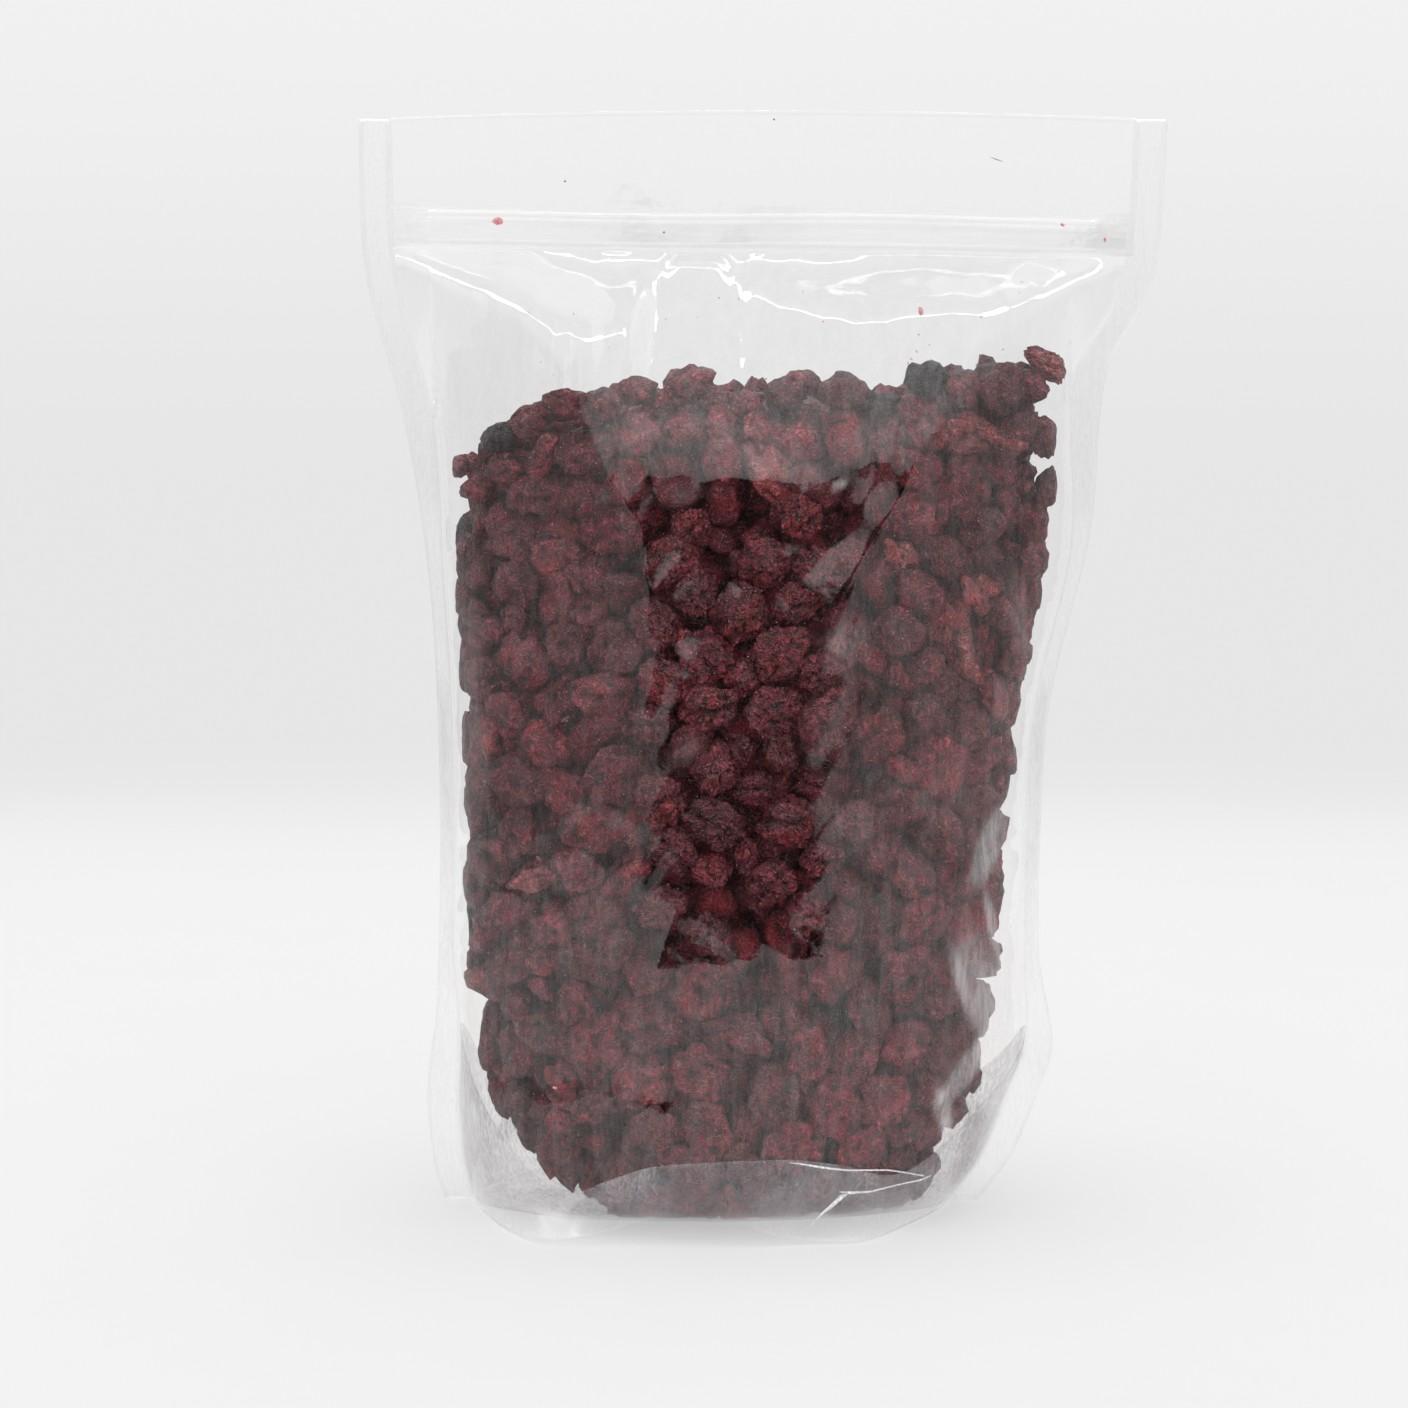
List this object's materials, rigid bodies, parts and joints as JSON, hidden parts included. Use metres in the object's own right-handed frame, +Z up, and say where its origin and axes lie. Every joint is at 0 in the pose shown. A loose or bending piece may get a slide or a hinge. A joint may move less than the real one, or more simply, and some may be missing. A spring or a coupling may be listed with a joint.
{
  "type": "stand-up pouch of dried cranberries",
  "caption": "Clear press-to-close stand-up pouch, shut and full of dried cranberries, standing on the welded lower edges of its bottom gusset.",
  "frame": {"origin": "on the floor, under the middle of the pouch's box", "axes": "+Z up along the pouch's height, +Y from the front panel to the back panel, +X to the right of someone who looks at the front"},
  "size_m": [0.1999, 0.094, 0.277],
  "materials": {
    "dried_cranberry": "wrinkled dark red skin with a slight sheen",
    "clear_film": "clear glossy laminated film, creased, with welded edges",
    "zip_plastic": "clear to milky ribbed plastic strip"
  },
  "bodies": {
    "root": {"cranberries": "dried_cranberry", "pouch": "clear_film", "zip_front": "zip_plastic", "zip_back": "zip_plastic"}
  },
  "joints": []
}
